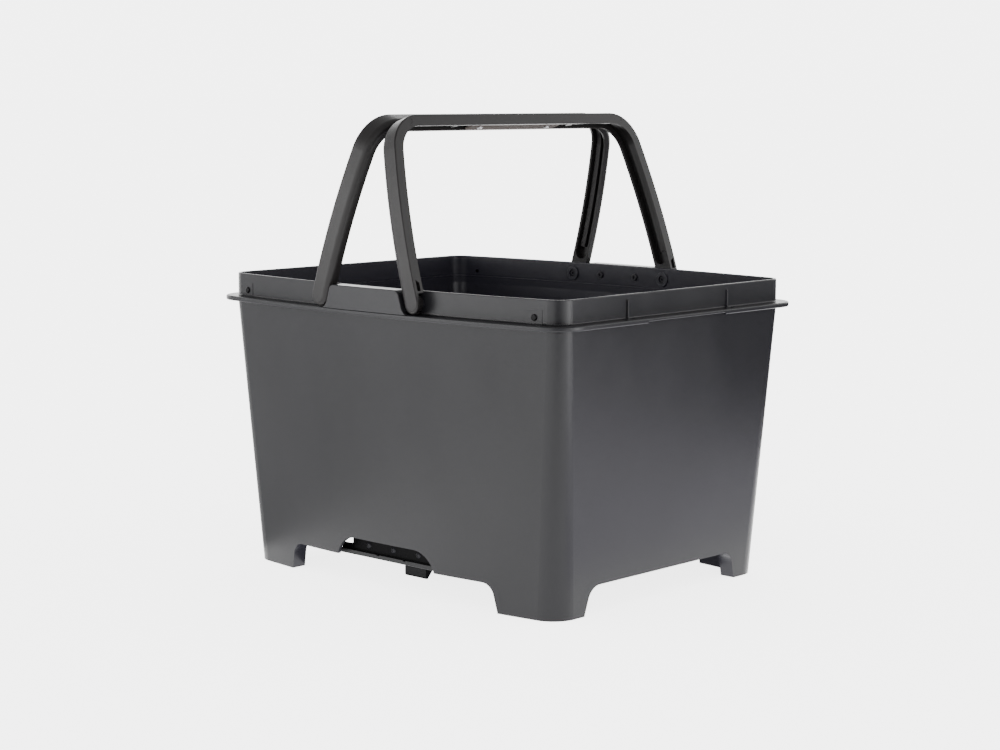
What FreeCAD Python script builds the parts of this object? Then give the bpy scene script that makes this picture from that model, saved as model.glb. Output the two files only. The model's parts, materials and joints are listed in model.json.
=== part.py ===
import FreeCAD, Part
import math
import os

# Carry crate: a tapered, open tub with a flange, two swinging carry handles and a rack adapter under its floor.
# Millimetres. Origin: middle of the footprint, on the plane of the soles. X runs along the long walls, +Z is up.

Vector = FreeCAD.Vector

# ---- tub: driving dimensions ----
RIM_Z = 250.0
BAND_Z = 224.9               # the walls taper below this height and stand upright above it
RIM_HALF_LENGTH = 188.8
RIM_HALF_DEPTH = 152.9       # at the middle of the bowed long walls
RIM_CORNER = 15.0
SOLE_HALF_LENGTH = 175.9
SOLE_HALF_DEPTH = 141.0
SOLE_CORNER = 21.5
BOW_RISE = 14.05             # how far a long wall bulges beyond its ends
WALL = 3.2
BAND_WALL = 2.4
INNER_STEP_Z = 231.5         # the wall is thinner above this height
RIM_ROUND = 0.8

FLOOR_TOP = 44.0
FLOOR_BOTTOM = 41.0
FLOOR_ROUND = 5.0
SKIRT_WALL = 3.0

FLANGE_TOP = 231.0
FLANGE_BOTTOM = 227.0
FLANGE_WEB_BOTTOM = 228.6
FLANGE_REACH = 10.6
FLANGE_LIP = 2.4
FLANGE_ROUND = 1.2
FLANGE_FILLET = 1.1          # between the flange's upper face and the band
LIP_GAP_HALF = 49.0          # middle stretch of each short side, where the lip is shallower
LIP_GAP_BOTTOM = 228.4

# ---- feet and skirt cut-outs ----
SKIRT_Z = 23.2
FOOT_GAP_HALF_X = 119.9      # at the sole
FOOT_GAP_HALF_Y = 95.5
FOOT_SLOPE_X = 13.0          # degrees from upright
FOOT_SLOPE_Y = 16.0
FOOT_FILLET_X = 11.0
FOOT_FILLET_Y = 13.0
FOOT_THICKNESS = 13.5
FOOT_WALL = 2.5
FOOT_BLOCK_X = 106.0         # the feet's own walls start here and reach out to the corners
FOOT_BLOCK_Y = 80.0
CUTOUT_TOP_Z = 39.5
CUTOUT_FLAT_HALF = 34.2
CUTOUT_ROUND = 23.0

# ---- short-side ribs on the rim band ----
RIB_Y = 62.6
RIB_WIDTH = 1.6
RIB_PROUD = 1.5
RIB_TOP_Z = 247.0
RIB_ROUND = 0.6

# ---- handles ----
PIVOT_X = 52.3
PIVOT_Z = 240.1
LEAN_DEG = 16.95             # from upright, towards the middle of the tub
ARM_LENGTH = 150.1           # pivot axis to the bar's outer face
HANDLE_WIDTH = 17.0
HANDLE_DEPTH = 9.3
HANDLE_SKIN = 2.6
HANDLE_SIDE = 2.2
HALF_SPAN_PIVOT = 163.0      # arm's outer face at the pivot
HALF_SPAN_BAR = 145.2        # arm's outer face, run on to the height of the bar
ARM_BULGE = 4.5
BEND_ROUND = 33.0
INNER_EDGE_ROUND = 5.4
OUTER_EDGE_ROUND = 1.0
TONGUE = 3.2
CHANNEL_END = 20.2           # centre of the rounded lower end of the arm's channel, above the pivot
HUB_RADIUS = 6.2
WINDOW_LOW = 8.1
WINDOW_HIGH = 17.2           # at the tongue; the upper edge slants down to WINDOW_SHOULDER
WINDOW_SHOULDER = 14.8
WINDOW_STRIP = 2.5           # between the window and the arm's inner face
WINDOW_DEPTH = 3.6
RIB_IN_CHANNEL_HEIGHT = 3.8

GRIP_HALF_LENGTH = 53.0
GRIP_STEP = 4.0
GRIP_THICKNESS = 1.6

# ---- pivots and screws ----
BUSH_BODY_RADIUS = 5.0
BUSH_JOURNAL_RADIUS = 4.0
COLLAR_RADIUS = 6.4
COLLAR_THICKNESS = 0.9
RUNNING_CLEARANCE = 0.05
SCREW_RADIUS = 1.5
SCREW_HEAD_RADIUS = 3.2
SCREW_HEAD_HEIGHT = 1.3
PIVOT_SEAT_DEPTH = 12.4       # arm's outer face to the seat of the screw's head

# ---- hinge panels ----
PANEL_PROUD = 11.3
PANEL_SKIN = 2.4
PANEL_END_RADIUS = 9.9       # distance of the panel's ends from the centre lines of the arms
PANEL_SHOULDER = 5.5
PANEL_EDGE_ROUND = 0.8
PANEL_SCREW_X = 20.0

# ---- snap studs ----
STUD_X = 164.7
STUD_Z = 236.2
STUD_RADIUS = 2.6
STUD_STEM_RADIUS = 1.6
STUD_PROUD = 1.45
PAD_HALF_WIDTH = 7.0
PAD_TOP_Z = 242.2
PAD_PROUD = 0.25

# ---- rack adapter ----
ADAPTER_HALF_LENGTH = 118.0  # along Y
BASE_HALF_WIDTH = 80.0
BASE_BOTTOM = 19.0
BASE_TOP = 23.0
BOX_HALF_WIDTH = 62.0
BOX_WALL = 2.6
BOSS_RADIUS = 5.5
BOSS_XS = (-45.0, 45.0)
BOSS_YS = (-72.0, 0.0, 72.0)
ADAPTER_SCREW_RADIUS = 1.75
ADAPTER_HEAD_RADIUS = 4.0
RACK_BAR_RADIUS = 5.0
FRONT_BAR_Y = -95.8
REAR_BAR_Y = 92.4
BAR_Z = 17.9

BRACKET_BACK_Y = -128.0
BRACKET_FRONT_Y = -131.0
BRACKET_LOW_HALF = 61.0
BRACKET_LOW_Z = 30.6
BRACKET_HIGH_HALF = 46.0
RAIL_BOTTOM = 22.9
RAIL_TOP = 26.6
RAIL_FRONT_Y = -134.0
RAIL_HALF_LENGTH = 64.0
FRONT_SCREW_XS = (-29.0, 0.0, 29.0)
RAIL_NOTCH_XS = (-15.4, 15.4)
FRONT_SCREW_Z = 32.3

LATCH_Y = -101.0
LATCH_Z = 33.0
LATCH_HALF_WIDTH = 12.2
LATCH_PIN_RADIUS = 2.0
CHEEK_X = 13.4
CHEEK_THICKNESS = 3.0
LATCH_SLOT_HALF = 13.0
LATCH_STOP_Y = -103.3        # back of the bar that the latch's upper tab closes against
SPRING_Y = -86.5
SPRING_TOP = 31.4
SPRING_RADIUS = 2.2
SPRING_WIRE = 0.6
SPRING_TURNS = 4
BAY_END_Y = -78.0

HOOK_X = 40.0
HOOK_HALF_WIDTH = 8.0

SIDES = {"front": -1, "rear": 1}
ENDS = {"left": -1, "right": 1}


# ---- helpers ----
def line(a, b):
    return Part.LineSegment(a, b).toShape()


def arc(a, b, c):
    return Part.Arc(a, b, c).toShape()


def box(x, y, z):
    """Box from three (low, high) pairs."""
    solid = Part.makeBox(x[1] - x[0], y[1] - y[0], z[1] - z[0])
    solid.translate(Vector(x[0], y[0], z[0]))
    return solid


def cylinder_y(radius, x, z, y_low, y_high):
    return Part.makeCylinder(radius, y_high - y_low, Vector(x, y_low, z), Vector(0, 1, 0))


def cylinder_z(radius, x, y, z_low, z_high):
    return Part.makeCylinder(radius, z_high - z_low, Vector(x, y, z_low), Vector(0, 0, 1))


def cylinder_x(radius, y, z, x_low, x_high):
    return Part.makeCylinder(radius, x_high - x_low, Vector(x_low, y, z), Vector(1, 0, 0))


def union(shapes):
    first, *rest = shapes
    return first.multiFuse(rest).removeSplitter() if rest else first


def extrude_xz(edges, y_low, y_high):
    """Solid from edges drawn at y = 0 in the XZ plane."""
    face = Part.Face(Part.Wire(Part.sortEdges(edges)[0]))
    solid = face.extrude(Vector(0, y_high - y_low, 0))
    solid.translate(Vector(0, y_low, 0))
    return solid


def extrude_yz(points, x_low, x_high):
    """Solid from a closed polygon of (y, z) points."""
    wire = Part.makePolygon([Vector(x_low, y, z) for y, z in points + points[:1]])
    return Part.Face(wire).extrude(Vector(x_high - x_low, 0, 0))


def mirror_x(shape):
    return shape.mirror(Vector(0, 0, 0), Vector(1, 0, 0))


def mirror_y(shape):
    return shape.mirror(Vector(0, 0, 0), Vector(0, 1, 0))


# ---- outlines of the tub ----
def rounded_outline(half_length, half_depth, bow_radius, corner_radius, z):
    """Closed wire: straight short sides, long sides bowed outward, corner arcs tangent to both."""
    bow_centre = bow_radius - half_depth
    corner_x = half_length - corner_radius
    corner_y = bow_centre - math.sqrt((bow_radius - corner_radius) ** 2 - corner_x ** 2)
    reach = bow_radius / (bow_radius - corner_radius)
    bow_end_x = corner_x * reach
    bow_end_y = bow_centre + (corner_y - bow_centre) * reach
    middle = math.atan2(bow_end_y - corner_y, bow_end_x - corner_x) / 2
    middle_x = corner_x + corner_radius * math.cos(middle)
    middle_y = corner_y + corner_radius * math.sin(middle)

    def at(x, y):
        return Vector(x, y, z)

    return Part.Wire([
        arc(at(-bow_end_x, bow_end_y), at(0, -half_depth), at(bow_end_x, bow_end_y)),
        arc(at(bow_end_x, bow_end_y), at(middle_x, middle_y), at(half_length, corner_y)),
        line(at(half_length, corner_y), at(half_length, -corner_y)),
        arc(at(half_length, -corner_y), at(middle_x, -middle_y), at(bow_end_x, -bow_end_y)),
        arc(at(bow_end_x, -bow_end_y), at(0, half_depth), at(-bow_end_x, -bow_end_y)),
        arc(at(-bow_end_x, -bow_end_y), at(-middle_x, -middle_y), at(-half_length, -corner_y)),
        line(at(-half_length, -corner_y), at(-half_length, corner_y)),
        arc(at(-half_length, corner_y), at(-middle_x, middle_y), at(-bow_end_x, bow_end_y)),
    ])


def wall_sizes(z):
    """Half length, half depth, bow radius and corner radius of the outer wall at a height."""
    rise = min(z / BAND_Z, 1.0)
    half_length = SOLE_HALF_LENGTH + (RIM_HALF_LENGTH - SOLE_HALF_LENGTH) * rise
    half_depth = SOLE_HALF_DEPTH + (RIM_HALF_DEPTH - SOLE_HALF_DEPTH) * rise
    corner = SOLE_CORNER + (RIM_CORNER - SOLE_CORNER) * rise
    bow = (half_length ** 2 + BOW_RISE ** 2) / (2 * BOW_RISE)
    return half_length, half_depth, bow, corner


def wall_outline(z, inset):
    half_length, half_depth, bow, corner = wall_sizes(z)
    return rounded_outline(half_length - inset, half_depth - inset, bow - inset, corner - inset, z)


def tapered(z_low, z_high, inset):
    """Solid that follows the tapered wall, moved inward by inset."""
    full = Part.makeLoft([wall_outline(-10, inset), wall_outline(BAND_Z, inset)], True, True)
    return full.common(box((-250, 250), (-250, 250), (z_low, z_high)))


def upright(z_low, z_high, inset):
    """Solid that follows the upright rim band, moved inward by inset."""
    half_length, half_depth, bow, corner = wall_sizes(BAND_Z)
    wire = rounded_outline(half_length - inset, half_depth - inset, bow - inset, corner - inset, z_low)
    return Part.Face(wire).extrude(Vector(0, 0, z_high - z_low))


def band_y(x, inset=0.0):
    """Distance of the front or rear band from the XZ plane at a given x."""
    half_length, half_depth, bow, corner = wall_sizes(BAND_Z)
    return math.sqrt((bow - inset) ** 2 - x ** 2) - (bow - half_depth)


# ---- tub ----
def gap_profile(half_gap, slope_deg, fillet, outset=0.0):
    """Edges, in the XZ plane, of the opening between two feet: sloped sides with rounded upper corners."""
    slope = math.radians(slope_deg)
    top = SKIRT_Z + outset
    radius = fillet + outset
    half_gap = half_gap + outset / math.cos(slope)
    corner = half_gap - top * math.tan(slope)
    setback = radius / math.tan((math.pi / 2 + slope) / 2)
    below = -3.0
    foot = half_gap - below * math.tan(slope)
    flat_end = corner - setback
    centre = Vector(flat_end, 0, top - radius)
    side_top = Vector(corner + setback * math.sin(slope), 0, top - setback * math.cos(slope))
    middle = centre + (Vector(corner, 0, top) - centre).normalize() * radius
    edges = [line(Vector(-foot, 0, below), Vector(foot, 0, below)),
             line(Vector(-flat_end, 0, top), Vector(flat_end, 0, top))]
    for side in (-1, 1):
        def at(point):
            return Vector(side * point.x, 0, point.z)
        edges.append(line(Vector(side * foot, 0, below), at(side_top)))
        edges.append(arc(at(side_top), at(middle), Vector(side * flat_end, 0, SKIRT_Z)))
    return edges


def cutout_profile():
    """Edges of the arched cut-out in the middle of the long skirts."""
    centre_z = CUTOUT_TOP_Z - CUTOUT_ROUND
    end_half = CUTOUT_FLAT_HALF + math.sqrt(CUTOUT_ROUND ** 2 - (SKIRT_Z - centre_z) ** 2)
    low = SKIRT_Z - 3.0
    halfway = math.radians(55)
    middle_x = CUTOUT_FLAT_HALF + CUTOUT_ROUND * math.cos(halfway)
    middle_z = centre_z + CUTOUT_ROUND * math.sin(halfway)
    edges = [line(Vector(-CUTOUT_FLAT_HALF, 0, CUTOUT_TOP_Z), Vector(CUTOUT_FLAT_HALF, 0, CUTOUT_TOP_Z)),
             line(Vector(-end_half, 0, low), Vector(end_half, 0, low))]
    for side in (-1, 1):
        edges.append(line(Vector(side * end_half, 0, low), Vector(side * end_half, 0, SKIRT_Z)))
        edges.append(arc(Vector(side * end_half, 0, SKIRT_Z), Vector(side * middle_x, 0, middle_z),
                         Vector(side * CUTOUT_FLAT_HALF, 0, CUTOUT_TOP_Z)))
    return edges


def corner_boxes(x_start, y_start, z_low, z_high):
    far = 220.0
    return [box(sorted((sx * x_start, sx * far)), sorted((sy * y_start, sy * far)), (z_low, z_high))
            for sx in (-1, 1) for sy in (-1, 1)]


def foot_gaps(outset):
    """The openings between neighbouring feet, as solids, grown on all sides by outset."""
    along_x = extrude_xz(gap_profile(FOOT_GAP_HALF_X, FOOT_SLOPE_X, FOOT_FILLET_X, outset), -170, 170)
    along_y = extrude_xz(gap_profile(FOOT_GAP_HALF_Y, FOOT_SLOPE_Y, FOOT_FILLET_Y, outset), -210, 210)
    along_y.rotate(Vector(0, 0, 0), Vector(0, 0, 1), 90)
    return [along_x, along_y]


def under_floor_space():
    """The open space under the floor and, apart from it, the hollows inside the four L-shaped feet."""
    space = tapered(-2, FLOOR_BOTTOM, SKIRT_WALL)
    ring = tapered(-5, FLOOR_BOTTOM + 5, 0).cut(tapered(-6, FLOOR_BOTTOM + 6, FOOT_THICKNESS))
    feet = ring.common(Part.makeCompound(corner_boxes(FOOT_BLOCK_X, FOOT_BLOCK_Y, -5, FLOOR_BOTTOM + 5)))
    hollow = tapered(-2, FLOOR_BOTTOM, SKIRT_WALL)
    hollow = hollow.cut(tapered(-3, FLOOR_BOTTOM + 1, FOOT_THICKNESS - FOOT_WALL))
    inside = corner_boxes(FOOT_BLOCK_X + FOOT_WALL, FOOT_BLOCK_Y + FOOT_WALL, -3, FLOOR_BOTTOM + 1)
    hollow = hollow.common(Part.makeCompound(inside)).cut(Part.makeCompound(foot_gaps(FOOT_WALL)))
    return space.cut(feet), hollow


def tub_shell():
    outer = union([tapered(0, BAND_Z, 0), upright(BAND_Z, RIM_Z, 0)])
    lower = tapered(FLOOR_TOP, BAND_Z, WALL)
    floor_edges = [e for e in lower.Edges if abs(e.BoundBox.ZMax - FLOOR_TOP) < 0.01]
    lower = lower.makeFillet(FLOOR_ROUND, floor_edges)
    shell = outer.cut(lower).cut(upright(BAND_Z, INNER_STEP_Z, WALL)).cut(upright(INNER_STEP_Z, RIM_Z + 1, BAND_WALL))
    for space in under_floor_space():
        shell = shell.cut(space)
    rim_edges = [e for e in shell.Edges if e.BoundBox.ZMin > RIM_Z - 0.01]
    return shell.makeFillet(RIM_ROUND, rim_edges)


def flange():
    plate = upright(FLANGE_BOTTOM, FLANGE_TOP, -FLANGE_REACH)
    rim_edges = [e for e in plate.Edges if e.BoundBox.ZLength < 0.01]
    plate = plate.makeFillet(FLANGE_ROUND, rim_edges)
    plate = plate.fuse(upright(FLANGE_TOP, FLANGE_TOP + 2 * FLANGE_FILLET, 0))
    foot_edges = [e for e in plate.Edges if e.BoundBox.ZLength < 0.01 and abs(e.BoundBox.ZMin - FLANGE_TOP) < 0.01
                  and e.BoundBox.XMax < RIM_HALF_LENGTH + 0.1 and e.BoundBox.XMin > -RIM_HALF_LENGTH - 0.1
                  and e.BoundBox.YMax < RIM_HALF_DEPTH + 0.1 and e.BoundBox.YMin > -RIM_HALF_DEPTH - 0.1]
    plate = plate.makeFillet(FLANGE_FILLET, foot_edges)
    ring = plate.cut(upright(FLANGE_BOTTOM - 1, RIM_Z, 1.2))
    groove = upright(FLANGE_BOTTOM - 1, FLANGE_WEB_BOTTOM, FLANGE_LIP - FLANGE_REACH)
    groove = groove.cut(upright(FLANGE_BOTTOM - 2, FLANGE_WEB_BOTTOM + 1, -0.4))
    ring = ring.cut(groove)
    for end in ENDS.values():
        trim = sorted((end * (RIM_HALF_LENGTH + 0.5), end * (RIM_HALF_LENGTH + FLANGE_REACH + 1)))
        ring = ring.cut(box(trim, (-LIP_GAP_HALF, LIP_GAP_HALF), (FLANGE_BOTTOM - 1, LIP_GAP_BOTTOM)))
    gap_edges = [e for e in ring.Edges if abs(e.BoundBox.YLength - 2 * LIP_GAP_HALF) < 0.01
                 and abs(e.BoundBox.ZMin - LIP_GAP_BOTTOM) < 0.01 and e.BoundBox.ZLength < 0.01
                 and abs(abs(e.BoundBox.Center.x) - RIM_HALF_LENGTH - FLANGE_REACH) < 0.01]
    return ring.makeFillet(0.8, gap_edges)


def band_ribs():
    """Two upright ribs with a bevelled top on each short side of the rim band."""
    root = RIM_HALF_LENGTH - 1.0
    face = RIM_HALF_LENGTH + RIB_PROUD
    ribs = []
    for end in ENDS.values():
        for y in (-RIB_Y, RIB_Y):
            outline = [(root, FLANGE_TOP - 0.5), (face, FLANGE_TOP - 0.5), (face, RIB_TOP_Z - 2.2), (root, RIB_TOP_Z)]
            points = [Vector(end * x, y - RIB_WIDTH / 2, z) for x, z in outline]
            rib = Part.Face(Part.makePolygon(points + points[:1])).extrude(Vector(0, RIB_WIDTH, 0))
            front = [e for e in rib.Edges if abs(e.BoundBox.Center.x - end * face) < 0.01 and e.BoundBox.ZLength > 1]
            ribs.append(rib.makeFillet(RIB_ROUND, front))
    return ribs


def band_holes():
    """Everything that is cut from the rim band: pivot, screw and stud holes, and the flange windows."""
    cuts = []
    for side in SIDES.values():
        span = sorted((side * 140.0, side * 160.0))
        for end in ENDS.values():
            cuts.append(cylinder_y(BUSH_BODY_RADIUS, end * PIVOT_X, PIVOT_Z, *span))
            cuts.append(cylinder_y(SCREW_RADIUS + 0.2, end * PANEL_SCREW_X, PIVOT_Z, *span))
            stem = cylinder_y(STUD_STEM_RADIUS, 0, STUD_Z, -5.0, 10.0)
            cuts.append(on_band(stem, end, side))
    for end in ENDS.values():
        for y in (-RIB_Y, RIB_Y):
            window_x = sorted((end * (RIM_HALF_LENGTH + 0.6), end * (RIM_HALF_LENGTH + 4.2)))
            cuts.append(box(window_x, (y + RIB_WIDTH / 2 + 0.4, y + 5.6), (FLANGE_BOTTOM - 1, FLANGE_TOP + 0.4)))
    return cuts


def on_band(shape, end, side):
    """Place a shape drawn at x = 0 against the band's outer face (y = 0, outside is -Y) at a stud's place."""
    bow = wall_sizes(BAND_Z)[2]
    turn = math.degrees(math.asin(STUD_X / bow))
    placed = shape.copy()
    placed.rotate(Vector(0, 0, 0), Vector(0, 0, 1), turn)
    placed.translate(Vector(STUD_X, -band_y(STUD_X), 0))
    placed = placed if end > 0 else mirror_x(placed)
    return placed if side < 0 else mirror_y(placed)


def stud_pads():
    """Slightly raised rectangles on the band, one round each stud."""
    pad = box((-PAD_HALF_WIDTH, PAD_HALF_WIDTH), (-PAD_PROUD, 1.0), (FLANGE_TOP - 0.5, PAD_TOP_Z))
    return [on_band(pad, end, side) for end in ENDS.values() for side in SIDES.values()]


def tub_bosses():
    return [cylinder_z(BOSS_RADIUS, x, y, BASE_TOP, FLOOR_BOTTOM + 1) for x in BOSS_XS for y in BOSS_YS]


def make_tub():
    body = union([tub_shell(), flange()] + band_ribs() + stud_pads() + tub_bosses())
    cuts = foot_gaps(0.0) + [extrude_xz(cutout_profile(), -170, 170)]
    cuts += [cylinder_z(ADAPTER_SCREW_RADIUS, x, y, BASE_TOP - 1, FLOOR_BOTTOM - 2) for x in BOSS_XS for y in BOSS_YS]
    for cut in cuts + band_holes():
        body = body.cut(cut)
    return body


# ---- hinge panels ----
def panel_profile():
    """Edges in the XZ plane: flat top, ends that run beside the leaning arms and curl round their lower ends."""
    lean = math.radians(LEAN_DEG)
    inward = Vector(-math.cos(lean), 0, -math.sin(lean))
    along = Vector(-math.sin(lean), 0, math.cos(lean))
    pivot = Vector(PIVOT_X, 0, PIVOT_Z)
    tangent = pivot + inward * PANEL_END_RADIUS
    top = tangent + along * ((RIM_Z - tangent.z) / along.z)
    drop = PIVOT_Z - FLANGE_TOP
    foot = pivot + Vector(-math.sqrt(PANEL_END_RADIUS ** 2 - drop ** 2), 0, -drop)
    start = math.atan2(inward.z, inward.x)
    end = math.atan2(foot.z - pivot.z, foot.x - pivot.x)
    middle = pivot + Vector(math.cos((start + end) / 2), 0, math.sin((start + end) / 2)) * PANEL_END_RADIUS
    edges = [line(Vector(-top.x, 0, RIM_Z), Vector(top.x, 0, RIM_Z)),
             line(Vector(-foot.x, 0, FLANGE_TOP), Vector(foot.x, 0, FLANGE_TOP))]
    for side in (-1, 1):
        def at(point):
            return Vector(side * point.x, 0, point.z)
        edges.append(line(at(top), at(tangent)))
        edges.append(arc(at(tangent), at(middle), at(foot)))
    return edges


def make_hinge_panel():
    """Front panel: a shell, open at the back, with two screw bosses."""
    block = extrude_xz(panel_profile(), -175, -140)
    top_corners = [e for e in block.Edges if e.BoundBox.YLength > 30 and e.BoundBox.ZMin > RIM_Z - 0.01]
    block = block.makeFillet(PANEL_SHOULDER, top_corners)
    band = upright(FLANGE_TOP, RIM_Z, -PANEL_PROUD).cut(upright(FLANGE_TOP - 1, RIM_Z + 1, 0))
    panel = band.common(block)
    front_edges = [e for e in panel.Edges if e.BoundBox.YMax < -RIM_HALF_DEPTH - PANEL_PROUD + 1.9
                   and e.BoundBox.ZMax > FLANGE_TOP + 0.5]
    panel = panel.makeFillet(PANEL_EDGE_ROUND, front_edges)
    hollow = upright(FLANGE_TOP + PANEL_SKIN, RIM_Z - PANEL_SKIN, PANEL_SKIN - PANEL_PROUD)
    reach = PIVOT_X - PANEL_END_RADIUS - PANEL_SKIN - 4.0
    hollow = hollow.common(box((-reach, reach), (-175, -140), (FLANGE_TOP, RIM_Z)))
    for x in (-PANEL_SCREW_X, PANEL_SCREW_X):
        hollow = hollow.cut(cylinder_y(4.0, x, PIVOT_Z, -175, -140))
    relief = FLANGE_FILLET + 0.1
    panel = panel.cut(hollow).cut(upright(FLANGE_TOP - 1, FLANGE_TOP + relief, -relief))
    pilots = [cylinder_y(SCREW_RADIUS, x, PIVOT_Z, -159.0, -150.0) for x in (-PANEL_SCREW_X, PANEL_SCREW_X)]
    return panel.cut(Part.makeCompound(pilots))


def make_panel_screws():
    """Screws from inside the tub, through the band, into the panel's bosses."""
    screws = []
    for side in SIDES.values():
        for x in (-PANEL_SCREW_X, PANEL_SCREW_X):
            seat = -band_y(abs(x) + SCREW_HEAD_RADIUS, BAND_WALL) + 0.05
            head = cylinder_y(SCREW_HEAD_RADIUS, x, PIVOT_Z, seat, seat + SCREW_HEAD_HEIGHT)
            rim = [e for e in head.Edges if e.BoundBox.YMin > seat + 1]
            head = head.makeFillet(0.6, rim)
            shank = cylinder_y(SCREW_RADIUS, x, PIVOT_Z, -158.8, seat)
            drive = hex_socket(x, PIVOT_Z, seat + SCREW_HEAD_HEIGHT)
            screw = union([head, shank]).cut(drive)
            screws.append(screw if side < 0 else mirror_y(screw))
    return Part.makeCompound(screws)


def hex_socket(x, z, y_face, depth=1.1, across=2.5):
    """Hexagonal socket that opens towards +Y."""
    radius = across / math.sqrt(3)
    points = [Vector(x + radius * math.cos(math.radians(a)), y_face - depth, z + radius * math.sin(math.radians(a)))
              for a in range(0, 361, 60)]
    return Part.Face(Part.makePolygon(points)).extrude(Vector(0, depth + 1, 0))


# ---- handles, drawn upright: pivot axis along Y through the origin, outer side of the bail is +X ----
def arm_circle():
    """Centre and radius, in the YZ plane, of the arm's bowed outer face."""
    foot = (HALF_SPAN_PIVOT, 0.0)
    middle = ((HALF_SPAN_PIVOT + HALF_SPAN_BAR) / 2 + ARM_BULGE, ARM_LENGTH / 2)
    head = (HALF_SPAN_BAR, ARM_LENGTH)
    face = Part.Arc(*[Vector(0, y, z) for y, z in (foot, middle, head)]).toShape().Curve
    return face.Center.y, face.Center.z, face.Radius


def arm_y(height, inset):
    centre_y, centre_z, radius = arm_circle()
    return centre_y + math.sqrt((radius - inset) ** 2 - (height - centre_z) ** 2)


def bail_region(inset, low, x_low, x_high, bend=None):
    """Solid inside the bail's outer face moved inward by inset, from height low up to the bar."""
    high = ARM_LENGTH - inset

    def at(height, side=1, shift=0.0):
        return Vector(x_low, side * arm_y(height, inset), height)

    middle = (low + high) / 2
    edges = [line(at(low, -1), at(low)), arc(at(low), at(middle), at(high)),
             line(at(high), at(high, -1)), arc(at(high, -1), at(middle, -1), at(low, -1))]
    solid = Part.Face(Part.Wire(edges)).extrude(Vector(x_high - x_low, 0, 0))
    corners = [e for e in solid.Edges if e.BoundBox.XLength > x_high - x_low - 0.01 and e.BoundBox.ZMin > high - 0.01]
    return solid.makeFillet(BEND_ROUND - inset if bend is None else bend, corners)


def arm_end(side):
    """Half-round lower end of an arm; its edge rounding fades from the inner side's to the outer side's."""
    half = HANDLE_WIDTH / 2
    face_y = side * HALF_SPAN_PIVOT
    tips = [Vector(-half, face_y, 0), Vector(0, face_y, -half), Vector(half, face_y, 0)]
    face = Part.Face(Part.Wire([arc(*tips), line(tips[2], tips[0])]))
    end = face.extrude(Vector(0, -side * HANDLE_DEPTH, 0))
    rim = [e for e in end.Edges if e.BoundBox.YLength < 0.01 and abs(e.BoundBox.Center.y - face_y) < 0.01
           and e.BoundBox.ZLength > 1]
    starts_inside = rim[0].Vertexes[0].Point.x < 0
    radii = (INNER_EDGE_ROUND, OUTER_EDGE_ROUND) if starts_inside else (OUTER_EDGE_ROUND, INNER_EDGE_ROUND)
    return end.makeFillet(*radii, rim)


def bail_blank():
    """Outer form with its long edges rounded: generously on the inner side, slightly on the outer."""
    half = HANDLE_WIDTH / 2
    upper = bail_region(0, 0.0, -half, half)
    for x, radius in ((-half, INNER_EDGE_ROUND), (half, OUTER_EDGE_ROUND)):
        rim = [e for e in upper.Edges if abs(e.BoundBox.XMin - x) < 0.01 and abs(e.BoundBox.XMax - x) < 0.01
               and e.BoundBox.ZMax > 1]
        upper = upper.makeFillet(radius, rim)
    return union([upper, arm_end(-1), arm_end(1)])


def arm_pockets(side):
    """Cuts at one arm's lower end: the open space beside the hub and the window above it."""
    half = HANDLE_WIDTH / 2
    inner = HALF_SPAN_PIVOT - HANDLE_DEPTH - 2.0
    tongue_back = HALF_SPAN_PIVOT - TONGUE
    pocket = box((-0.5, half + 1), sorted((side * inner, side * tongue_back)), (-half - 1, WINDOW_LOW - 1.6))
    pocket = pocket.cut(cylinder_y(HUB_RADIUS, 0, 0, *sorted((side * (inner - 1), side * (tongue_back + 1)))))
    window_back = inner + 2.0 + WINDOW_STRIP
    outline = [(side * tongue_back, WINDOW_HIGH), (side * window_back, WINDOW_SHOULDER),
               (side * window_back, WINDOW_LOW), (side * tongue_back, WINDOW_LOW)]
    window = extrude_yz(outline, half - WINDOW_DEPTH, half + 1)
    return [pocket, window]


def make_bail():
    half = HANDLE_WIDTH / 2
    bail = bail_blank().cut(bail_region(HANDLE_DEPTH, -20, -half - 1, half + 1))
    channel_half = half - HANDLE_SIDE
    channel = bail_region(HANDLE_SKIN, CHANNEL_END, -channel_half, channel_half)
    rounded_end = [cylinder_y(channel_half, 0, CHANNEL_END, *sorted((side * 140.0, side * (arm_y(CHANNEL_END, HANDLE_SKIN) - 0.01))))
                   for side in (-1, 1)]
    rib = bail_region(HANDLE_SKIN - 0.5, CHANNEL_END + 4.5, -0.4, 4.4)
    rib = rib.cut(bail_region(HANDLE_SKIN + RIB_IN_CHANNEL_HEIGHT, -20, -5, 10))
    rib = rib.cut(box((-20, 20), (-GRIP_HALF_LENGTH - 30, GRIP_HALF_LENGTH + 30), (100, 170)))
    bail = bail.cut(union([channel] + rounded_end))
    bail = union([bail, rib] + grip_bosses())
    cuts = []
    for side in (-1, 1):
        cuts += arm_pockets(side)
        cuts.append(cylinder_y(BUSH_JOURNAL_RADIUS + RUNNING_CLEARANCE, 0, 0,
                               *sorted((side * 150.0, side * (HALF_SPAN_PIVOT - TONGUE)))))
        cuts.append(cylinder_y(SCREW_RADIUS, 0, 0, *sorted((side * 150.0, side * (HALF_SPAN_PIVOT - 0.8)))))
        mark_y = side * (HALF_SPAN_BAR - 16.5)
        cuts.append(cylinder_x(3.1, mark_y, ARM_LENGTH - 5.2, half - 0.2, half + 1))
    cuts += [cylinder_z(SCREW_RADIUS, 0, y, ARM_LENGTH - 9, ARM_LENGTH - 1.0) for y in grip_screw_places()]
    return bail.cut(Part.makeCompound(cuts))


def grip_screw_places():
    return (-GRIP_HALF_LENGTH + 12.0, GRIP_HALF_LENGTH - 12.0)


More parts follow.
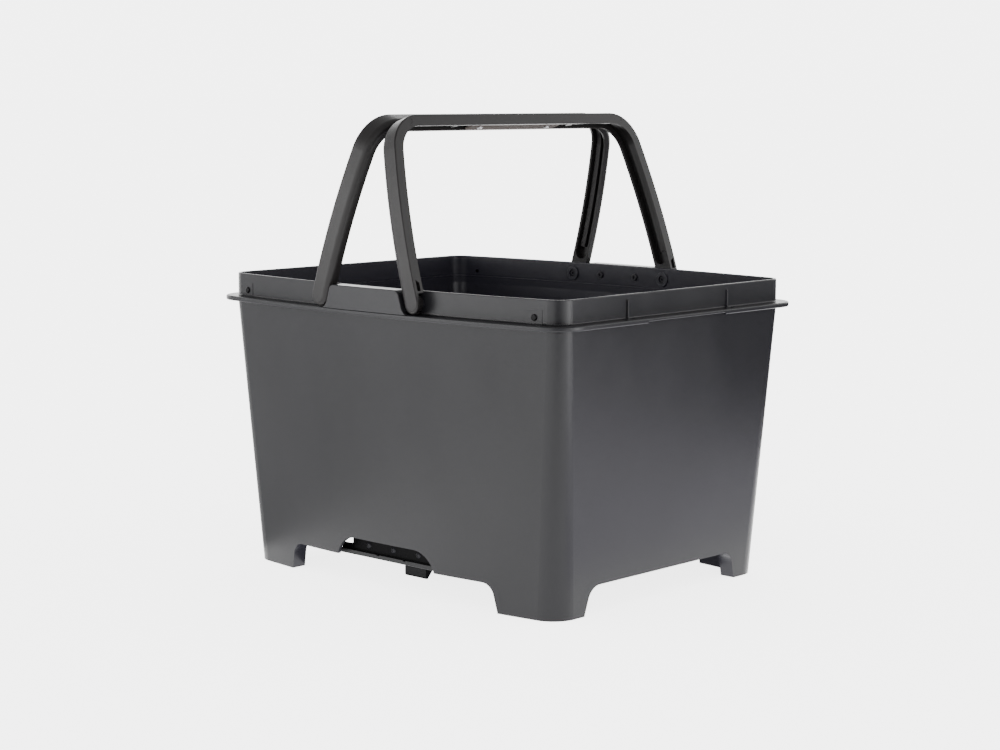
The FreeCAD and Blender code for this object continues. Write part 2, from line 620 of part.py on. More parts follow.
def grip_bosses():
    """Round screw bosses inside the bar: two for the grip and one plain one beyond each of its ends."""
    top = ARM_LENGTH - HANDLE_SKIN + 0.5
    grip_top = ARM_LENGTH - HANDLE_DEPTH + GRIP_THICKNESS
    bosses = [cylinder_z(3.2, 0, y, grip_top, top) for y in grip_screw_places()]
    bosses += [cylinder_z(3.0, 0, y, ARM_LENGTH - HANDLE_DEPTH + 1.2, top) for y in (-70.5, 70.5)]
    return bosses


def make_grip():
    """Insert that closes the underside of the bar: a stepped plate with shallow side returns."""
    bottom = ARM_LENGTH - HANDLE_DEPTH
    half_width = HANDLE_WIDTH / 2 - HANDLE_SIDE - 0.15
    plate = box((-half_width, half_width), (-GRIP_HALF_LENGTH, GRIP_HALF_LENGTH), (bottom, bottom + GRIP_THICKNESS))
    ends = [e for e in plate.Edges if e.BoundBox.ZLength > 1]
    plate = plate.makeFillet(2.0, ends)
    returns = [box(x, (-GRIP_HALF_LENGTH + GRIP_STEP, GRIP_HALF_LENGTH - GRIP_STEP), (bottom + 0.5, bottom + 4.2))
               for x in ((-half_width, -half_width + 1.3), (half_width - 1.3, half_width))]
    grip = union([plate] + returns)
    grooves = [box((x - 0.35, x + 0.35), (-GRIP_HALF_LENGTH + 7, GRIP_HALF_LENGTH - 7), (bottom - 1, bottom + 0.4))
               for x in (-3.9, -2.6, 2.6, 3.9)]
    holes = [cylinder_z(SCREW_RADIUS + 0.2, 0, y, bottom - 1, bottom + 5) for y in grip_screw_places()]
    return grip.cut(Part.makeCompound(grooves + holes))


def make_grip_screws():
    bottom = ARM_LENGTH - HANDLE_DEPTH
    screws = []
    for y in grip_screw_places():
        head = Part.makeCone(2.4, 1.9, 1.0, Vector(0, y, bottom), Vector(0, 0, -1))
        shank = cylinder_z(SCREW_RADIUS, 0, y, bottom, ARM_LENGTH - 1.4)
        slot = box((-0.35, 0.35), (y - 1.5, y + 1.5), (bottom - 1.2, bottom - 0.4))
        cross = box((-1.5, 1.5), (y - 0.35, y + 0.35), (bottom - 1.2, bottom - 0.4))
        screws.append(union([head, shank]).cut(slot).cut(cross))
    return Part.makeCompound(screws)


def make_pivot_screws():
    """Screws that hold the handle on its bushes: the head turns inside the bush, the tip is in the tongue."""
    screws = []
    for side in (-1, 1):
        seat = HALF_SPAN_PIVOT - PIVOT_SEAT_DEPTH
        head = cylinder_y(SCREW_HEAD_RADIUS, 0, 0, *sorted((side * seat, side * (seat - SCREW_HEAD_HEIGHT))))
        shank = cylinder_y(SCREW_RADIUS, 0, 0, *sorted((side * seat, side * (HALF_SPAN_PIVOT - 1.0))))
        screw = union([head, shank])
        if side < 0:
            drive = hex_socket(0, 0, -seat + SCREW_HEAD_HEIGHT)
        else:
            drive = mirror_y(hex_socket(0, 0, -seat + SCREW_HEAD_HEIGHT))
        screws.append(screw.cut(drive))
    return Part.makeCompound(screws)


def place_handle(shape, end):
    """Lean an upright handle part inward and set it on its pivot axis."""
    placed = shape.copy()
    placed.rotate(Vector(0, 0, 0), Vector(0, 1, 0), -LEAN_DEG)
    placed.translate(Vector(PIVOT_X, 0, PIVOT_Z))
    return placed if end > 0 else mirror_x(placed)


def make_pivot_bush():
    """Front bush at x = 0: inner collar, body through the band, journal for the hub, bored for the screw."""
    collar_face = -band_y(PIVOT_X + COLLAR_RADIUS, BAND_WALL) + 0.1
    shoulder = -HALF_SPAN_PIVOT + HANDLE_DEPTH + 0.4
    tip = -HALF_SPAN_PIVOT + TONGUE + 0.5
    screw_seat = -HALF_SPAN_PIVOT + PIVOT_SEAT_DEPTH
    collar = cylinder_y(COLLAR_RADIUS, 0, 0, collar_face, collar_face + COLLAR_THICKNESS)
    collar = collar.makeFillet(0.4, [e for e in collar.Edges if e.BoundBox.YMin > collar_face + 0.5])
    body = cylinder_y(BUSH_BODY_RADIUS, 0, 0, shoulder, collar_face + 0.4)
    journal = cylinder_y(BUSH_JOURNAL_RADIUS, 0, 0, tip, shoulder + 1)
    bore = cylinder_y(SCREW_RADIUS + 0.35, 0, 0, tip - 1, 0)
    counterbore = cylinder_y(SCREW_HEAD_RADIUS + 0.35, 0, 0, screw_seat - 0.35, 0)
    return union([collar, body, journal]).cut(bore).cut(counterbore)


def make_stud():
    """Snap stud: a low domed head on its pad and a stem through the band."""
    head = cylinder_y(STUD_RADIUS, 0, STUD_Z, -STUD_PROUD, -PAD_PROUD - 0.02)
    front = [e for e in head.Edges if e.BoundBox.YMax < -STUD_PROUD + 0.01]
    head = head.makeFillet(0.9, front)
    stem = cylinder_y(STUD_STEM_RADIUS, 0, STUD_Z, -PAD_PROUD - 0.02, BAND_WALL + 0.6)
    return union([head, stem])


# ---- rack adapter ----
def make_adapter():
    """Base plate with a raised, open-topped box, grooves for the rack's bars and a bay for the latch."""
    length = (-ADAPTER_HALF_LENGTH, ADAPTER_HALF_LENGTH)
    base = box((-BASE_HALF_WIDTH, BASE_HALF_WIDTH), length, (BASE_BOTTOM, BASE_TOP))
    base = base.makeFillet(8.0, [e for e in base.Edges if e.BoundBox.ZLength > 1])
    frame = box((-BOX_HALF_WIDTH, BOX_HALF_WIDTH), length, (BASE_TOP - 1, FLOOR_BOTTOM))
    frame = frame.cut(box((-BOX_HALF_WIDTH + BOX_WALL, BOX_HALF_WIDTH - BOX_WALL),
                          (length[0] + BOX_WALL, length[1] - BOX_WALL), (0, 60)))
    parts = [base, frame]
    parts += [box((-BOX_HALF_WIDTH + 1, BOX_HALF_WIDTH - 1), (y - 1.1, y + 1.1), (BASE_TOP - 1, 38.0))
              for y in (-36.0, 36.0)]
    for side in (-1, 1):
        x = sorted((side * CHEEK_X, side * (CHEEK_X + CHEEK_THICKNESS)))
        parts.append(box(x, (LATCH_Y - 6, BAY_END_Y), (BASE_TOP - 1, 39.6)))
    parts.append(box((-CHEEK_X - 1, CHEEK_X + 1), (BAY_END_Y - 2.4, BAY_END_Y), (BASE_TOP - 1, 39.6)))
    parts.append(box((-CHEEK_X - 1, CHEEK_X + 1), (LATCH_Y - 6, LATCH_STOP_Y), (37.7, 39.6)))
    parts.append(cylinder_z(SPRING_RADIUS - 0.6, 0, SPRING_Y, BASE_TOP - 1, BASE_TOP + 2))
    parts += [cylinder_y(4.0, x, FRONT_SCREW_Z, BRACKET_BACK_Y, length[0] + 1) for x in FRONT_SCREW_XS]
    parts += [cylinder_z(4.5, side * HOOK_X, 107.0, BASE_TOP - 1, 34.0) for side in (-1, 1)]
    adapter = union(parts)
    cuts = [box((-BOX_HALF_WIDTH + 8, BOX_HALF_WIDTH - 8), (y - RACK_BAR_RADIUS - 0.4, y + RACK_BAR_RADIUS + 0.3),
                (BASE_BOTTOM - 1, BASE_TOP + 0.2)) for y in (FRONT_BAR_Y, REAR_BAR_Y)]
    cuts.append(box((-LATCH_SLOT_HALF, LATCH_SLOT_HALF), (LATCH_Y - 11.0, FRONT_BAR_Y - 3), (BASE_BOTTOM - 1, BASE_TOP + 1)))
    cuts.append(cylinder_x(LATCH_PIN_RADIUS, LATCH_Y, LATCH_Z, -40, 40))
    cuts += [cylinder_y(SCREW_RADIUS, x, FRONT_SCREW_Z, BRACKET_BACK_Y - 1, -119.5) for x in FRONT_SCREW_XS]
    cuts += [cylinder_z(SCREW_RADIUS, side * HOOK_X, 107.0, 10, 32.0) for side in (-1, 1)]
    for x in BOSS_XS:
        for y in BOSS_YS:
            cuts.append(cylinder_z(ADAPTER_SCREW_RADIUS + 0.25, x, y, 10, 40))
            cuts.append(cylinder_z(ADAPTER_HEAD_RADIUS + 0.3, x, y, 10, BASE_BOTTOM + 2))
    return adapter.cut(Part.makeCompound(cuts))


def make_adapter_screws():
    screws = []
    for x in BOSS_XS:
        for y in BOSS_YS:
            head = cylinder_z(ADAPTER_HEAD_RADIUS, x, y, BASE_BOTTOM + 0.1, BASE_BOTTOM + 2)
            shank = cylinder_z(ADAPTER_SCREW_RADIUS, x, y, BASE_BOTTOM + 2, FLOOR_BOTTOM - 3)
            cross = [box((x - 2.2, x + 2.2), (y - 0.5, y + 0.5), (BASE_BOTTOM, BASE_BOTTOM + 1.2)),
                     box((x - 0.5, x + 0.5), (y - 2.2, y + 2.2), (BASE_BOTTOM, BASE_BOTTOM + 1.2))]
            screws.append(union([head, shank]).cut(Part.makeCompound(cross)))
    return Part.makeCompound(screws)


def make_front_bracket():
    """Upright plate behind the front cut-out, lower at its ends, with a shelf back to the adapter's box."""
    top = FLOOR_BOTTOM - 1.2
    shoulder = BRACKET_HIGH_HALF - 3.0
    outline = [(-BRACKET_LOW_HALF, RAIL_BOTTOM), (BRACKET_LOW_HALF, RAIL_BOTTOM), (BRACKET_LOW_HALF, BRACKET_LOW_Z),
               (BRACKET_HIGH_HALF, BRACKET_LOW_Z), (shoulder, top), (-shoulder, top),
               (-BRACKET_HIGH_HALF, BRACKET_LOW_Z), (-BRACKET_LOW_HALF, BRACKET_LOW_Z)]
    wire = Part.makePolygon([Vector(x, BRACKET_FRONT_Y, z) for x, z in outline + outline[:1]])
    plate = Part.Face(wire).extrude(Vector(0, BRACKET_BACK_Y - BRACKET_FRONT_Y, 0))
    shelf = box((-shoulder + 2, shoulder - 2), (BRACKET_BACK_Y - 1, -ADAPTER_HALF_LENGTH - 0.1), (top - 2.2, top))
    bracket = union([plate, shelf])
    return bracket.cut(Part.makeCompound([cylinder_y(SCREW_RADIUS + 0.2, x, FRONT_SCREW_Z, -140, -125)
                                          for x in FRONT_SCREW_XS]))


def make_bracket_screws():
    screws = []
    for x in FRONT_SCREW_XS:
        head = Part.makeSphere(3.4, Vector(x, BRACKET_FRONT_Y + 2.0, FRONT_SCREW_Z))
        head = head.common(cylinder_y(2.7, x, FRONT_SCREW_Z, BRACKET_FRONT_Y - 3, BRACKET_FRONT_Y))
        shank = cylinder_y(SCREW_RADIUS, x, FRONT_SCREW_Z, BRACKET_FRONT_Y, -119.8)
        cross = [box((x - 1.4, x + 1.4), (-134, BRACKET_FRONT_Y - 0.5), (FRONT_SCREW_Z - 0.35, FRONT_SCREW_Z + 0.35)),
                 box((x - 0.35, x + 0.35), (-134, BRACKET_FRONT_Y - 0.5), (FRONT_SCREW_Z - 1.4, FRONT_SCREW_Z + 1.4))]
        screws.append(union([head, shank]).cut(Part.makeCompound(cross)))
    return Part.makeCompound(screws)


def make_front_rail():
    rail = box((-RAIL_HALF_LENGTH, RAIL_HALF_LENGTH), (RAIL_FRONT_Y, BRACKET_FRONT_Y), (RAIL_BOTTOM, RAIL_TOP))
    rail = rail.makeFillet(0.5, [e for e in rail.Edges if e.BoundBox.XLength > 100 and e.BoundBox.YMax < RAIL_FRONT_Y + 0.01])
    notches = [box((x - 1.6, x + 1.6), (-140, -120), (RAIL_TOP - 0.9, RAIL_TOP + 1)) for x in RAIL_NOTCH_XS]
    return rail.cut(Part.makeCompound(notches))


def make_latch():
    """Hook on a cross pin: arm, ledge under the rack's bar, slanted nose, stop tab above, spring lever behind."""
    ledge = BAR_Z - RACK_BAR_RADIUS - 0.2
    arm_front = LATCH_Y - 3.5
    arm_rear = LATCH_Y - 0.2
    nose = [(arm_front, LATCH_Z), (arm_front, 14.0), (-106.0, 14.0), (-106.0, 7.0), (-104.8, 5.8), (-103.6, 5.8),
            (-98.2, ledge - 0.8), (-98.2, ledge), (arm_rear, ledge), (arm_rear, LATCH_Z)]
    body = extrude_yz(nose, -LATCH_HALF_WIDTH, LATCH_HALF_WIDTH)
    barrel = cylinder_x(4.4, LATCH_Y, LATCH_Z, -LATCH_HALF_WIDTH, LATCH_HALF_WIDTH)
    tab = box((-6.0, 6.0), (LATCH_STOP_Y + 0.3, LATCH_Y + 0.6), (LATCH_Z, 39.4))
    lever = box((-6.0, 6.0), (LATCH_Y, SPRING_Y + 3.4), (SPRING_TOP, SPRING_TOP + 2.4))
    bore = cylinder_x(LATCH_PIN_RADIUS + RUNNING_CLEARANCE, LATCH_Y, LATCH_Z, -30, 30)
    return union([body, barrel, tab, lever]).cut(bore)


def make_latch_pin():
    length = CHEEK_X + CHEEK_THICKNESS
    pin = cylinder_x(LATCH_PIN_RADIUS, LATCH_Y, LATCH_Z, -length, length)
    return pin.makeChamfer(0.35, [e for e in pin.Edges if e.BoundBox.XLength < 0.01])


def make_latch_spring():
    """Compression spring that stands on the base plate under the latch's lever."""
    wire = SPRING_WIRE / 2
    low = BASE_TOP + wire + 0.02
    height = SPRING_TOP - wire - 0.02 - low
    climb = math.atan2(height / SPRING_TURNS, 2 * math.pi * SPRING_RADIUS)
    start = Vector(SPRING_RADIUS, 0, 0)
    across = Vector(0, -math.sin(climb), math.cos(climb))

    def on_circle(degrees):
        angle = math.radians(degrees)
        return start + Vector(1, 0, 0) * (wire * math.cos(angle)) + across * (wire * math.sin(angle))

    section = Part.Wire([arc(on_circle(0), on_circle(90), on_circle(180)),
                         arc(on_circle(180), on_circle(270), on_circle(360))])
    helix = Part.makeHelix(height / SPRING_TURNS, height, SPRING_RADIUS)
    spring = Part.Wire(helix).makePipeShell([section], True, True)
    spring.translate(Vector(0, SPRING_Y, low))
    return spring


def make_rear_hook():
    """J-shaped hook under the rack's rear bar, open towards the front."""
    leg = REAR_BAR_Y + RACK_BAR_RADIUS + 0.3
    foot_top = BAR_Z - RACK_BAR_RADIUS - 0.2
    outline = [(leg, BASE_BOTTOM), (leg, foot_top), (REAR_BAR_Y - 3.6, foot_top), (REAR_BAR_Y - 4.6, foot_top - 2.2),
               (REAR_BAR_Y - 3.6, foot_top - 4.2), (leg + 2.6, foot_top - 4.2), (leg + 4.4, foot_top - 2.4),
               (leg + 4.4, 15.8), (ADAPTER_HALF_LENGTH - 3, 15.8), (ADAPTER_HALF_LENGTH - 3, BASE_BOTTOM)]
    hook = extrude_yz(outline, -HOOK_HALF_WIDTH, HOOK_HALF_WIDTH)
    return hook.cut(cylinder_z(SCREW_RADIUS + 0.2, 0, 107.0, 0, 30))


def make_hook_screws():
    screws = []
    for side in (-1, 1):
        x = side * HOOK_X
        head = cylinder_z(3.0, x, 107.0, 13.9, 15.8)
        shank = cylinder_z(SCREW_RADIUS, x, 107.0, 15.8, 31.5)
        cross = box((x - 1.7, x + 1.7), (106.6, 107.4), (13, 14.9))
        screws.append(union([head, shank]).cut(cross))
    return Part.makeCompound(screws)


# ---- assembly ----
def build_nodes():
    nodes = {"tub": make_tub()}

    panel = make_hinge_panel()
    nodes["front_hinge_panel"] = panel
    nodes["rear_hinge_panel"] = mirror_y(panel)
    nodes["hinge_panel_screws"] = make_panel_screws()

    bush = make_pivot_bush()
    stud = make_stud()
    for side_name, side in SIDES.items():
        for end_name, end in ENDS.items():
            placed = bush.copy()
            placed.translate(Vector(end * PIVOT_X, 0, PIVOT_Z))
            nodes[f"pivot_bush_{side_name}_{end_name}"] = placed if side < 0 else mirror_y(placed)
            nodes[f"snap_stud_{side_name}_{end_name}"] = on_band(stud, end, side)

    bail = make_bail()
    grip = make_grip()
    grip_screws = make_grip_screws()
    pivot_screws = make_pivot_screws()
    for end_name, end in ENDS.items():
        nodes[f"{end_name}_bail"] = place_handle(bail, end)
        nodes[f"{end_name}_grip"] = place_handle(grip, end)
        nodes[f"{end_name}_grip_screws"] = place_handle(grip_screws, end)
        nodes[f"{end_name}_pivot_screws"] = place_handle(pivot_screws, end)

    nodes["adapter_plate"] = make_adapter()
    nodes["adapter_screws"] = make_adapter_screws()
    nodes["front_bracket"] = make_front_bracket()
    nodes["bracket_screws"] = make_bracket_screws()
    nodes["front_rail"] = make_front_rail()
    nodes["latch_hook"] = make_latch()
    nodes["latch_pin"] = make_latch_pin()
    nodes["latch_spring"] = make_latch_spring()

    hook = make_rear_hook()
    for end_name, end in ENDS.items():
        placed = hook.copy()
        placed.translate(Vector(end * HOOK_X, 0, 0))
        nodes[f"rear_hook_{end_name}"] = placed
    nodes["hook_screws"] = make_hook_screws()
    return nodes


def main():
    os.makedirs("parts", exist_ok=True)
    whole = FreeCAD.BoundBox()
    for name, shape in build_nodes().items():
        shape.exportStep(os.path.join("parts", name + ".step"))
        whole.add(shape.BoundBox)
        print(f"{name:26s} solids {len(shape.Solids):2d}  valid {shape.isValid()}  volume {shape.Volume / 1000:8.2f} cm3")
    print("box", [round(v, 2) for v in (whole.XMin, whole.XMax, whole.YMin, whole.YMax, whole.ZMin, whole.ZMax)])


main()
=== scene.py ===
import json
import math

import bpy
from mathutils import Matrix, Vector

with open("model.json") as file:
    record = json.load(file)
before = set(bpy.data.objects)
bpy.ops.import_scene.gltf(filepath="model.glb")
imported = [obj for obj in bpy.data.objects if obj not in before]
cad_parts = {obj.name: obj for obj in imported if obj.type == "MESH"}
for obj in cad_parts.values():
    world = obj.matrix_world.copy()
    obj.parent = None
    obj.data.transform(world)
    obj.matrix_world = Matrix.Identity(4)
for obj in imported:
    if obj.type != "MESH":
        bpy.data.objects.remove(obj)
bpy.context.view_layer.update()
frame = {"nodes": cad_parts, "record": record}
nodes = frame["nodes"]

# ---- camera: the photograph's viewing angle ----
CAMERA_PLACE = Vector((1.25235, -1.34118, 0.40272))
AZIMUTH = math.radians(43.125)
TILT_DOWN = math.radians(7.396)
ROLL = math.radians(0.10)
LENS_MM = 78.1
SENSOR_MM = 36
CLIP_NEAR = 0.05
CLIP_FAR = 500


def add_camera():
    level = math.cos(TILT_DOWN)
    forward = Vector((-math.sin(AZIMUTH) * level, math.cos(AZIMUTH) * level, -math.sin(TILT_DOWN)))
    level_right = Vector((math.cos(AZIMUTH), math.sin(AZIMUTH), 0))
    level_up = level_right.cross(forward)
    right = level_right * math.cos(ROLL) + level_up * math.sin(ROLL)
    up = right.cross(forward)
    data = bpy.data.cameras.new("camera")
    data.sensor_width = SENSOR_MM
    data.lens = LENS_MM
    data.clip_start = CLIP_NEAR
    data.clip_end = CLIP_FAR
    camera = bpy.data.objects.new("camera", data)
    turn = Matrix((right, up, -forward)).transposed()
    camera.matrix_world = Matrix.Translation(CAMERA_PLACE) @ turn.to_4x4()
    bpy.context.scene.collection.objects.link(camera)
    bpy.context.scene.camera = camera


add_camera()


# ---- stage: a white floor and studio, and cards that show only in reflections ----
FLOOR_HALF_SIZE = 120.0
FLOOR_COLOUR = (0.93, 0.93, 0.93)
FLOOR_ROUGHNESS = 0.7
FLOOR_GLOW = 3.7
HORIZON_GLOW = 5.3
ZENITH_GLOW = 1.1
BRIGHT_UP_TO = 0.16          # sine of the elevation
DIM_FROM = 0.55
CARD_ROUGHNESS = 0.9
CARD_Z = 0.0012              # height of the cards that lie on the floor
SHADE_Z = 0.0006


def matt_material(name, colour, roughness, glow, glow_colour=(1, 1, 1)):
    """A surface without highlights that may also glow."""
    material = bpy.data.materials.new(name)
    material.use_nodes = True
    shader = material.node_tree.nodes["Principled BSDF"]
    shader.inputs["Base Color"].default_value = (*colour, 1)
    shader.inputs["Roughness"].default_value = roughness
    shader.inputs["Specular IOR Level"].default_value = 0.0
    shader.inputs["Emission Color"].default_value = (*glow_colour, 1)
    shader.inputs["Emission Strength"].default_value = glow
    return material


def add_sheet(name, corners, material):
    """A flat piece with four corners."""
    mesh = bpy.data.meshes.new(name)
    mesh.from_pydata(corners, [], [(0, 1, 2, 3)])
    mesh.materials.append(material)
    sheet = bpy.data.objects.new(name, mesh)
    bpy.context.scene.collection.objects.link(sheet)
    return sheet


def level_rectangle(low, high, z):
    """The corners of a rectangle at height z, between two opposite corners in plan."""
    return [(low[0], low[1], z), (high[0], low[1], z), (high[0], high[1], z), (low[0], high[1], z)]


def add_floor():
    size = FLOOR_HALF_SIZE
    material = matt_material("floor", FLOOR_COLOUR, FLOOR_ROUGHNESS, FLOOR_GLOW)
    floor = add_sheet("floor", level_rectangle((-size, -size), (size, size), 0), material)


def add_world():
    """A white studio: bright up to a little above the horizon, dimmer overhead."""
    world = bpy.data.worlds.new("studio")
    world.use_nodes = True
    tree = world.node_tree
    background = tree.nodes["Background"]
    background.inputs["Color"].default_value = (1, 1, 1, 1)
    direction = tree.nodes.new("ShaderNodeTexCoord")
    split = tree.nodes.new("ShaderNodeSeparateXYZ")
    height = tree.nodes.new("ShaderNodeMapRange")
    height.interpolation_type = "SMOOTHSTEP"
    height.inputs["From Min"].default_value = BRIGHT_UP_TO
    height.inputs["From Max"].default_value = DIM_FROM
    height.inputs["To Min"].default_value = HORIZON_GLOW
    height.inputs["To Max"].default_value = ZENITH_GLOW
    tree.links.new(direction.outputs["Generated"], split.inputs["Vector"])
    tree.links.new(split.outputs["Z"], height.inputs["Value"])
    tree.links.new(height.outputs["Result"], background.inputs["Strength"])
    bpy.context.scene.world = world


def add_card(name, corners, colour, glow=0.0, glow_colour=(1, 1, 1)):
    """Matt or glowing card that shows only in reflections."""
    card = add_sheet(name, corners, matt_material(name, colour, CARD_ROUGHNESS, glow, glow_colour))
    card.visible_camera = False
    card.visible_diffuse = False
    card.visible_shadow = False


def add_upright_card(name, middle, facing_deg, width, height, colour, glow=0.0):
    """A card that stands on the floor, with the middle of its lower edge at a place in plan."""
    turn = math.radians(facing_deg)
    along = Vector((-math.sin(turn), math.cos(turn), 0)) * (width / 2)
    base = Vector((*middle, 0))
    up = Vector((0, 0, height))
    add_card(name, [base - along, base + along, base + along + up, base - along + up], colour, glow)


def add_upright_cards():
    """Dark, dim and glowing cards around the crate, for the bands of light and dark on its walls."""
    add_upright_card("right_flag", middle=(0.60, 0.50), facing_deg=72.0, width=1.3, height=0.27,
                     colour=(0.01, 0.01, 0.02))
    add_upright_card("camera_flag", middle=(0.89, -0.85), facing_deg=315.0, width=0.82, height=0.6,
                     colour=(0.02, 0.02, 0.03))
    add_upright_card("left_lamp", middle=(-1.60, -2.40), facing_deg=54.0, width=1.7, height=1.0,
                     colour=(0.5, 0.5, 0.5), glow=10.0)
    add_upright_card("left_shade", middle=(-2.00, -1.00), facing_deg=25.0, width=1.2, height=1.0,
                     colour=(0.3, 0.3, 0.31), glow=0.8)
    add_upright_card("side_lamp", middle=(0.92, 0.16), facing_deg=202.0, width=0.40, height=0.55,
                     colour=(0.5, 0.5, 0.5), glow=12.0)


def add_floor_cards():
    """Two cards to the left that share an edge, one to the right and one under the crate."""
    edge_near = (-0.20, -0.20, CARD_Z)
    edge_far = (-2.30, -1.84, CARD_Z)
    add_card("left_card_far", [edge_near, edge_far, (-2.30, 0.20, CARD_Z), (-0.20, 0.20, CARD_Z)],
             colour=(0.15, 0.15, 0.16), glow=1.5)
    add_card("left_card_near", [edge_near, (-0.22, -1.50, CARD_Z), (-2.30, -2.60, CARD_Z), edge_far],
             colour=(0.20, 0.20, 0.21), glow=2.6)
    add_card("right_card", level_rectangle((0.24, -0.10), (0.90, 0.75), CARD_Z),
             colour=(0.5, 0.49, 0.53), glow=2.9, glow_colour=(1.0, 0.975, 1.08))
    add_card("shade_card", level_rectangle((-0.155, -0.12), (0.155, 0.12), SHADE_Z),
             colour=(0.02, 0.02, 0.02))


add_floor()
add_world()
add_upright_cards()
add_floor_cards()


# ---- materials ----
# Distance of a face's plane from the crate's upright middle line, below 0 where the face looks inward;
# between these two values the inside faces blend into their painted light.
INSIDE_STARTS = -0.02
INSIDE_FULL = -0.06


class Surface:
    """A Principled material with the row frame's coordinates at hand."""

    def __init__(self, name):
        self.name = name
        self.material = bpy.data.materials.new(name)
        self.material.use_nodes = True
        self.tree = self.material.node_tree
        self.shader = self.tree.nodes["Principled BSDF"]
        self.place = self.add("ShaderNodeTexCoord").outputs["Object"]

    def add(self, kind, **values):
        node = self.tree.nodes.new(kind)
        for name, value in values.items():
            setattr(node, name, value)
        return node

    def link(self, source, target):
        self.tree.links.new(source, target)

    def feed(self, source, socket):
        """Lead a node's result to a socket of the shader."""
        self.link(source, self.shader.inputs[socket])

    def noise(self, scale, detail, roughness=0.55, stretch=(1, 1, 1)):
        """Noise from 0 to 1 with features of about 1 / scale metres."""
        mapping = self.add("ShaderNodeMapping")
        mapping.inputs["Scale"].default_value = stretch
        self.link(self.place, mapping.inputs["Vector"])
        node = self.add("ShaderNodeTexNoise")
        node.inputs["Scale"].default_value = scale
        node.inputs["Detail"].default_value = detail
        node.inputs["Roughness"].default_value = roughness
        self.link(mapping.outputs["Vector"], node.inputs["Vector"])
        return node.outputs["Fac"]

    def ramp(self, source, low, high, first=0.3, last=0.7):
        """Goes from low to high while the source goes from first to last."""
        node = self.add("ShaderNodeMapRange")
        node.inputs["From Min"].default_value = first
        node.inputs["From Max"].default_value = last
        node.inputs["To Min"].default_value = low
        node.inputs["To Max"].default_value = high
        self.link(source, node.inputs["Value"])
        return node.outputs["Result"]

    def mix(self, factor, first, second):
        node = self.add("ShaderNodeMix", data_type="RGBA")
        node.inputs["A"].default_value = (*first, 1)
        node.inputs["B"].default_value = (*second, 1)
        self.link(factor, node.inputs["Factor"])
        return node.outputs["Result"]

    def blend_in(self, factor, socket, data_type, value):
        """Where the factor is 1, a socket of the shader gets this value instead of what feeds it."""
        node = self.add("ShaderNodeMix", data_type=data_type)
        node.inputs["B"].default_value = value
        self.link(self.shader.inputs[socket].links[0].from_socket, node.inputs["A"])
        self.link(factor, node.inputs["Factor"])
        self.feed(node.outputs["Result"], socket)

    def vary_gloss(self, source, roughness, spread):
        """The roughness wanders up to the spread to both sides of its middle value."""
        self.feed(self.ramp(source, roughness - spread, roughness + spread), "Roughness")

    def bump(self, source, depth, strength=1.0, below=None):
        node = self.add("ShaderNodeBump")
        node.inputs["Strength"].default_value = strength
        node.inputs["Distance"].default_value = depth
        self.link(source, node.inputs["Height"])
        if below:
            self.link(below, node.inputs["Normal"])
        return node.outputs["Normal"]


def moulded_plastic(name, dark, light, roughness, specular, grain=2600, grain_depth=0.00006):
    """Injection-moulded plastic: fine spark-eroded grain, slow variation in shade and gloss."""
    surface = Surface(name)
    cloud = surface.noise(scale=7, detail=3)
    surface.feed(surface.mix(surface.ramp(cloud, 0, 1), dark, light), "Base Color")
    sheen = surface.noise(scale=23, detail=4, stretch=(1, 1, 0.5))
    surface.vary_gloss(sheen, roughness, spread=0.04)
    fine = surface.bump(surface.noise(scale=grain, detail=2), depth=grain_depth)
    wavy = surface.bump(surface.noise(scale=11, detail=2), depth=0.0012, strength=0.15, below=fine)
    surface.feed(wavy, "Normal")
    surface.shader.inputs["Specular IOR Level"].default_value = specular
    return surface


def paint_inside_light(surface, colour, roughness):
    """Painted light: the faces turned towards the crate's middle get a colour of their own that stands
    in for the light inside the crate, and a roughness of their own.
    """
    geometry = surface.add("ShaderNodeNewGeometry")
    flat = surface.add("ShaderNodeVectorMath", operation="MULTIPLY")
    flat.inputs[1].default_value = (1, 1, 0)
    outward = surface.add("ShaderNodeVectorMath", operation="DOT_PRODUCT")
    surface.link(geometry.outputs["Position"], flat.inputs[0])
    surface.link(flat.outputs["Vector"], outward.inputs[0])
    surface.link(geometry.outputs["True Normal"], outward.inputs[1])
    inside = surface.ramp(outward.outputs["Value"], 0, 1, INSIDE_STARTS, INSIDE_FULL)
    surface.blend_in(inside, "Base Color", "RGBA", (*colour, 1))
    surface.blend_in(inside, "Roughness", "FLOAT", roughness)


def crate_plastic():
    """The crate's plastic, smoother on the inside than outside, with painted light that makes its
    inside a little lighter and bluer.
    """
    surface = moulded_plastic("crate_plastic", dark=(0.0050, 0.0049, 0.0058),
                              light=(0.0066, 0.0065, 0.0076), roughness=0.33, specular=0.16)
    # Painted light: a lighter, bluer colour on the faces inside the crate.
    paint_inside_light(surface, colour=(0.0095, 0.0092, 0.0125), roughness=0.24)
    return surface


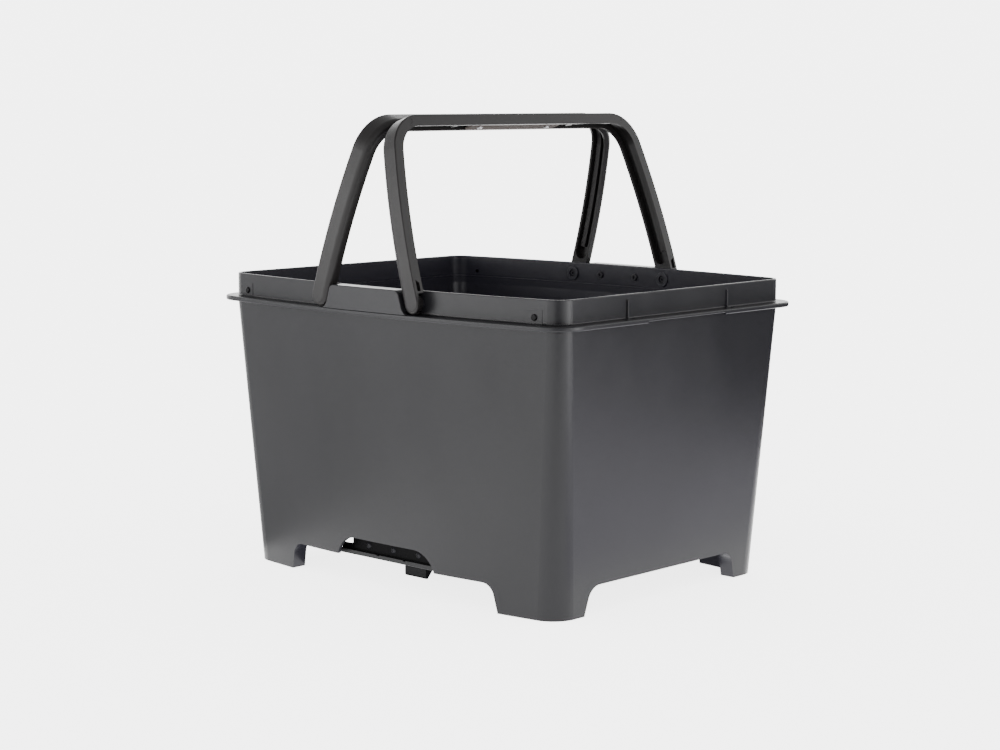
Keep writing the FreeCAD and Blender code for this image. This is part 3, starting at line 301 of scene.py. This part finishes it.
def plated_steel(name, colour, roughness):
    surface = Surface(name)
    cloud = surface.noise(scale=900, detail=3)
    darker = [channel * 0.8 for channel in colour]
    surface.feed(surface.mix(surface.ramp(cloud, 0, 1), darker, colour), "Base Color")
    surface.shader.inputs["Metallic"].default_value = 1.0
    surface.vary_gloss(surface.noise(scale=400, detail=3), roughness, spread=0.08)
    surface.feed(surface.bump(surface.noise(scale=3000, detail=2), depth=0.00002), "Normal")
    return surface


SURFACES = [
    crate_plastic(),
    moulded_plastic("handle_plastic", dark=(0.0056, 0.0051, 0.0052), light=(0.0072, 0.0066, 0.0067),
                    roughness=0.33, specular=0.13),
    moulded_plastic("grip_plastic", dark=(0.056, 0.047, 0.044), light=(0.066, 0.055, 0.051),
                    roughness=0.60, specular=0.01),
    # The bushes get nearly the lighter, bluer colour of the crate's inside faces: the same painted
    # light.
    moulded_plastic("bush_plastic", dark=(0.0078, 0.0076, 0.0104), light=(0.0092, 0.0089, 0.0120),
                    roughness=0.33, specular=0.13),
    moulded_plastic("stud_plastic", dark=(0.001, 0.001, 0.0013), light=(0.002, 0.002, 0.0023),
                    roughness=0.14, specular=0.06, grain_depth=0.00001),
    # The adapter is near black: its own black plastic, darkened further as painted shade for the
    # shadow under the crate.
    moulded_plastic("adapter_plastic", dark=(0.0006, 0.0006, 0.0008), light=(0.0012, 0.0012, 0.0014),
                    roughness=0.42, specular=0.02),
    moulded_plastic("rail_plastic", dark=(0.0055, 0.0055, 0.0060), light=(0.0070, 0.0070, 0.0076),
                    roughness=0.33, specular=0.10),
    moulded_plastic("latch_plastic", dark=(0.0022, 0.0022, 0.0026), light=(0.0032, 0.0032, 0.0036),
                    roughness=0.40, specular=0.05),
    moulded_plastic("screw_black", dark=(0.0052, 0.0051, 0.0066), light=(0.0068, 0.0066, 0.0086),
                    roughness=0.34, specular=0.11, grain=1800, grain_depth=0.00002),
    plated_steel("screw_steel", colour=(0.20, 0.20, 0.21), roughness=0.30),
    plated_steel("spring_steel", colour=(0.22, 0.22, 0.23), roughness=0.28),
]
LOOKS = {surface.name: surface.material for surface in SURFACES}

for part in frame["record"]["subparts"]:
    node = nodes[part["node"]]
    node.data.materials.clear()
    node.data.materials.append(LOOKS[part["material_slot"]])
